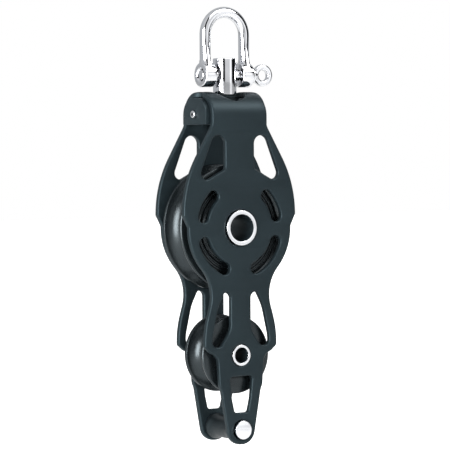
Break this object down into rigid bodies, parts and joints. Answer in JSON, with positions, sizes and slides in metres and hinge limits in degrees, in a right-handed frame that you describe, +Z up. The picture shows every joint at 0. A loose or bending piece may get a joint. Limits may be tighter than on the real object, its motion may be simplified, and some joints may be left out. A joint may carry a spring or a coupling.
{
  "type": "swivel fiddle block",
  "caption": "Fiddle block: a large sheave above a small one between two windowed side plates, on a swivel post and D-shackle, with a becket spool at the foot.",
  "frame": {"origin": "the bearing point inside the crown of the shackle bow, where the block hangs from what holds it", "axes": "+Z up along the swivel post, +X along the shackle pin towards its eye, +Y from the front plate to the rear one, along both axles"},
  "size_m": [0.0622, 0.0298, 0.2067],
  "materials": {
    "black_anodised": "satin charcoal-black hard anodising",
    "smooth_black_anodised": "smooth black anodising, turned",
    "polished_stainless": "mirror-polished stainless steel",
    "plain_stainless": "plain turned stainless steel",
    "bearing_bronze": "turned bearing bronze",
    "black_acetal": "glossy black acetal",
    "white_acetal": "off-white acetal"
  },
  "bodies": {
    "shackle": {"shackle_bow": "polished_stainless"},
    "pin": {"shackle_pin": "polished_stainless"},
    "post": {"swivel_post": "polished_stainless", "post_nut": "plain_stainless", "post_roll_pin": "plain_stainless", "post_thrust_washer": "bearing_bronze"},
    "frame": {"front_side_plate": "black_anodised", "rear_side_plate": "black_anodised", "head_block": "black_anodised", "post_bushing": "black_acetal", "main_axle": "polished_stainless", "main_front_race": "plain_stainless", "main_rear_race": "plain_stainless", "small_axle": "polished_stainless", "small_front_race": "plain_stainless", "small_rear_race": "plain_stainless", "becket_pin": "polished_stainless", "becket_clip": "plain_stainless"},
    "set_screw": {"swivel_set_screw": "plain_stainless"},
    "main_wheel": {"main_sheave": "smooth_black_anodised", "main_bushing": "white_acetal"},
    "main_balls": {"main_front_ball_ring": "white_acetal", "main_rear_ball_ring": "white_acetal"},
    "small_wheel": {"small_sheave": "smooth_black_anodised", "small_bushing": "white_acetal"},
    "small_balls": {"small_front_ball_ring": "white_acetal", "small_rear_ball_ring": "white_acetal"},
    "becket_roller": {"becket_spool": "black_acetal"}
  },
  "joints": [
    {"name": "shackle_pin_draw", "type": "slide", "parent": "shackle", "child": "pin", "axis": [1, 0, 0], "range_m": [0, 0.03]},
    {"name": "shackle_swing", "type": "hinge", "parent": "shackle", "child": "post", "pos_m": [0, 0, -0.0271], "axis": [1, 0, 0], "range_deg": [-110, 110]},
    {"name": "swivel_turn", "type": "hinge", "parent": "post", "child": "frame", "pos_m": [0, 0, -0.0421], "axis": [0, 0, 1], "continuous": true},
    {"name": "set_screw_advance", "type": "slide", "parent": "frame", "child": "set_screw", "axis": [1, 0, 0], "range_m": [0, 0.0006]},
    {"name": "main_sheave_turn", "type": "hinge", "parent": "frame", "child": "main_wheel", "pos_m": [0, 0, -0.0992], "axis": [0, 1, 0], "continuous": true},
    {"name": "main_balls_turn", "type": "hinge", "parent": "frame", "child": "main_balls", "pos_m": [0, 0, -0.0992], "axis": [0, 1, 0], "continuous": true},
    {"name": "small_sheave_turn", "type": "hinge", "parent": "frame", "child": "small_wheel", "pos_m": [0, 0, -0.1593], "axis": [0, 1, 0], "continuous": true},
    {"name": "small_balls_turn", "type": "hinge", "parent": "frame", "child": "small_balls", "pos_m": [0, 0, -0.1593], "axis": [0, 1, 0], "continuous": true},
    {"name": "becket_spool_turn", "type": "hinge", "parent": "frame", "child": "becket_roller", "pos_m": [0, 0, -0.1945], "axis": [0, 1, 0], "continuous": true}
  ],
  "couplings": [
    {"joint": "main_balls_turn", "follows": "main_sheave_turn", "ratio": 0.5},
    {"joint": "small_balls_turn", "follows": "small_sheave_turn", "ratio": 0.5}
  ]
}
